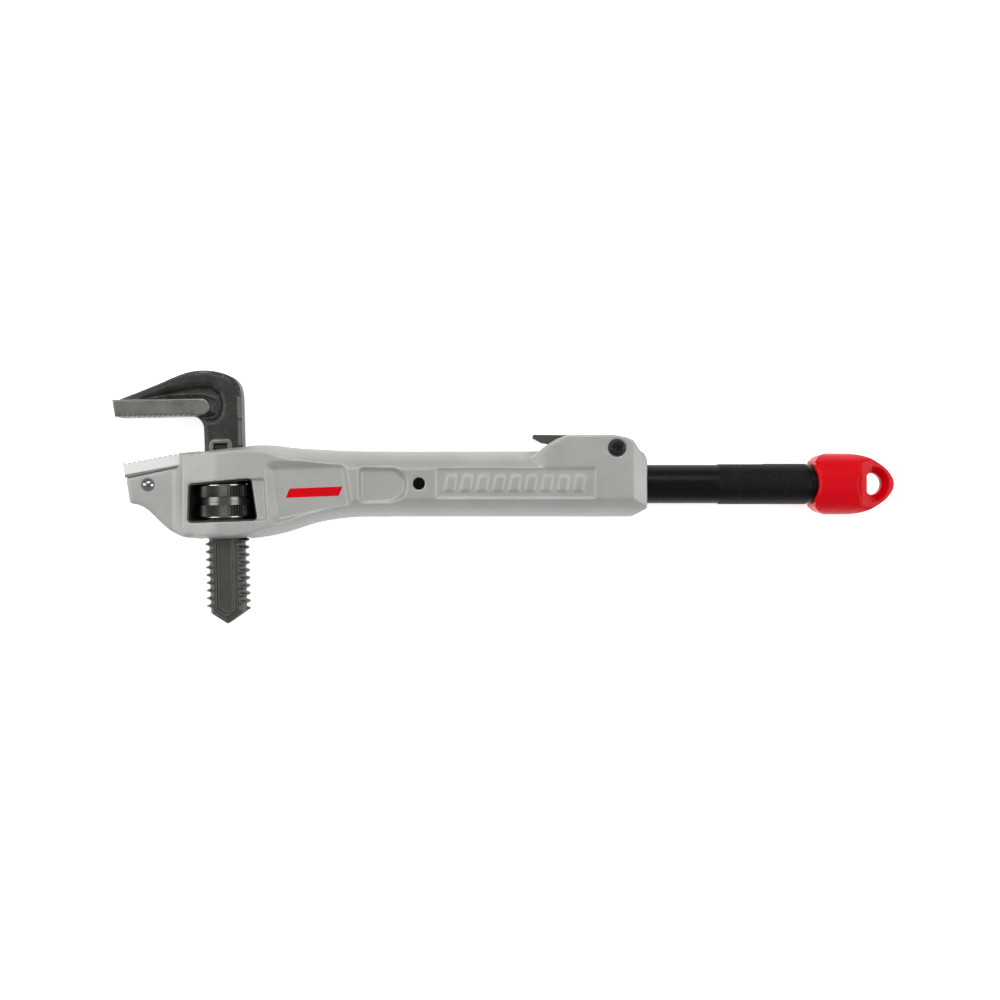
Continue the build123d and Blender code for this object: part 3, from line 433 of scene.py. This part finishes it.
for node in ("window_liner", "release_lever", "heel_jaw"):
    ease(node)

# ---------------------------------------------------------------- tube with its diamond knurl


def knurl(x, angle):
    """Depth of the two crossed sets of grooves at a place on the grip."""
    diamond = KNURL_PITCH * math.sqrt(2)
    lines = round(2 * math.pi * GRIP_RADIUS / diamond)
    phase = angle * lines / (2 * math.pi)
    run = x / diamond
    one = abs((phase + run) % 1.0 - 0.5) * 2
    other = abs((phase - run) % 1.0 - 0.5) * 2
    return KNURL_DEPTH * max(one ** 3, other ** 3)


def keyway(x, angle, radius):
    """Radius of the keyway floor and its lock pockets, or the radius given."""
    across = radius * math.sin(angle)
    if not (KEYWAY_LOW <= x <= KEYWAY_HIGH and abs(across) <= KEYWAY_HALF and math.cos(angle) > 0):
        return radius
    floor = KEYWAY_FLOOR
    for number in range(POCKET_COUNT):
        if math.hypot(x - POCKET_FIRST - number * POCKET_STEP, across) <= POCKET_RADIUS:
            floor -= POCKET_DEPTH
    return min(radius, floor / math.cos(angle))


def tube_radius_at(x, angle):
    """Outer radius with the grip, its knurl and the keyway."""
    radius = TUBE_RADIUS
    into_grip = min(x - GRIP_LOW, GRIP_HIGH - x)
    if into_grip > 0:
        lead = min(1.0, into_grip / GRIP_LEAD)
        radius += (GRIP_RADIUS - TUBE_RADIUS) * lead - knurl(x, angle) * lead
    return keyway(x, angle, radius)


def tube_stations():
    """Places along the tube, closer together on the grip."""
    low, high = (corner.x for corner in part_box("extension_tube"))
    stations = [low, low + RIM_LENGTH]
    while stations[-1] < high - MM:
        fine = GRIP_LOW - MM < stations[-1] < GRIP_HIGH + MM
        stations.append(stations[-1] + (FINE_CELL if fine else PLAIN_CELL))
    return stations + [high]


def tube_ring(mesh, x, radius_at):
    """Closed ring of points round the tube's axis."""
    ring = []
    for step in range(TUBE_STEPS):
        angle = 2 * math.pi * step / TUBE_STEPS
        radius = radius_at(angle)
        ring.append(mesh.verts.new((x, radius * math.cos(angle), MID + radius * math.sin(angle))))
    return ring


def extension_tube():
    """Tube with its knurled grip and keyway, replacing the CAD tube."""
    stations = tube_stations()
    mesh = bmesh.new()
    rings = []
    for x in stations:
        rim = RIM_BREAK if x in (stations[0], stations[-1]) else 0.0
        rings.append(tube_ring(mesh, x, lambda angle: tube_radius_at(x, angle) - rim))
    for x in (stations[-1], stations[0]):
        rings.append(tube_ring(mesh, x, lambda angle: TUBE_INNER))
    rings.append(rings[0])
    for ring, following in zip(rings, rings[1:]):
        for step in range(TUBE_STEPS):
            after = (step + 1) % TUBE_STEPS
            mesh.faces.new((ring[step], ring[after], following[after], following[step]))
    bmesh.ops.recalc_face_normals(mesh, faces=mesh.faces)
    data = bpy.data.meshes.new("knurled_tube")
    mesh.to_mesh(data)
    mesh.free()
    data.shade_smooth()
    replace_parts(new_object("knurled_tube", data, "tube", "tube_black"), "extension_tube")


extension_tube()

# ---------------------------------------------------------------- plain red stripe on the front panel


def stripe():
    """Thin painted stripe on the floor of the front panel, slanted at its ends."""
    top = MID + PANEL_FLOOR + STRIPE_PROUD
    mesh = bmesh.new()
    upper = [mesh.verts.new((x * MM, y * MM, top)) for x, y in STRIPE_CORNERS]
    face = mesh.faces.new(upper)
    made = bmesh.ops.extrude_face_region(mesh, geom=[face])
    lowered = [v for v in made["geom"] if isinstance(v, bmesh.types.BMVert)]
    bmesh.ops.translate(mesh, verts=lowered, vec=(0, 0, -STRIPE_THICK))
    bmesh.ops.recalc_face_normals(mesh, faces=mesh.faces)
    data = bpy.data.meshes.new("panel_stripe")
    mesh.to_mesh(data)
    mesh.free()
    thing = new_object("panel_stripe", data, "handle", "cap_red")
    rounding = thing.modifiers.new("round_corners", "BEVEL")
    rounding.width = STRIPE_CORNER_RADIUS
    rounding.segments = 4
    rounding.affect = "EDGES"
    rounding.limit_method = "ANGLE"


stripe()

# ---------------------------------------------------------------- floor, light and camera



def pale_floor():
    """Plain white floor that stays evenly bright."""
    mesh = bpy.data.meshes.new("floor")
    corners = [(-1, -1), (1, -1), (1, 1), (-1, 1)]
    mesh.from_pydata([(x * FLOOR_HALF, y * FLOOR_HALF, 0) for x, y in corners], [], [(0, 1, 2, 3)])
    floor = bpy.data.objects.new("floor", mesh)
    floor.location.z = -FLOOR_DROP
    paint = Graph("pale_floor")
    paint.shader.inputs["Emission Color"].default_value = (1.0, 1.0, 1.0, 1.0)
    paint.shader.inputs["Emission Strength"].default_value = FLOOR_GLOW
    mesh.materials.append(paint.finish((0.94, 0.94, 0.94, 1.0), 0.9))
    bpy.context.scene.collection.objects.link(floor)


def studio_world():
    """A light tent: white round the sides, dimmer overhead, so that dark pieces stay dark."""
    world = bpy.data.worlds.new("studio")
    world.use_nodes = True
    tree = world.node_tree
    place = tree.nodes.new("ShaderNodeTexCoord")
    parts = tree.nodes.new("ShaderNodeSeparateXYZ")
    fade = tree.nodes.new("ShaderNodeMapRange")
    fade.inputs["From Min"].default_value = FADE_START
    fade.inputs["From Max"].default_value = FADE_END
    fade.inputs["To Min"].default_value = SIDE_GLOW
    fade.inputs["To Max"].default_value = TOP_GLOW
    tree.links.new(place.outputs["Generated"], parts.inputs["Vector"])
    tree.links.new(parts.outputs["Z"], fade.inputs["Value"])
    tree.links.new(fade.outputs["Result"], tree.nodes["Background"].inputs["Strength"])
    tree.nodes["Background"].inputs["Color"].default_value = (1.0, 1.0, 1.0, 1.0)
    bpy.context.scene.world = world


def softbox(name, spot, width, height, power):
    """Rectangular light aimed at the middle of the wrench; sizes in metres, power in watts."""
    aim = Vector((CAMERA_SPOT[0], 0.0, MID))
    light = bpy.data.lights.new(name, "AREA")
    light.shape = "RECTANGLE"
    light.size, light.size_y = width, height
    light.energy = power
    thing = bpy.data.objects.new(name, light)
    thing.location = spot
    thing.rotation_mode = "QUATERNION"
    thing.rotation_quaternion = (aim - Vector(spot)).to_track_quat("-Z", "Y")
    bpy.context.scene.collection.objects.link(thing)


def overhead_camera():
    """Camera that looks straight down on the wrench."""
    camera = bpy.data.cameras.new("camera")
    camera.sensor_width = SENSOR
    camera.lens = SENSOR * CAMERA_DISTANCE / VIEW_WIDTH
    camera.clip_start, camera.clip_end = 0.01, 50.0
    thing = bpy.data.objects.new("camera", camera)
    thing.location = (*CAMERA_SPOT, MID + CAMERA_DISTANCE)
    bpy.context.scene.collection.objects.link(thing)
    bpy.context.scene.camera = thing


pale_floor()
studio_world()
softbox("key_light", (0.0, 0.8, 1.2), 1.1, 0.5, 8.0)
softbox("side_light", (-0.9, 0.1, 0.8), 0.5, 0.9, 5.0)
softbox("fill_light", (1.2, -0.1, 1.0), 0.6, 0.9, 6.5)
overhead_camera()
bpy.context.scene.view_settings.view_transform = "Standard"
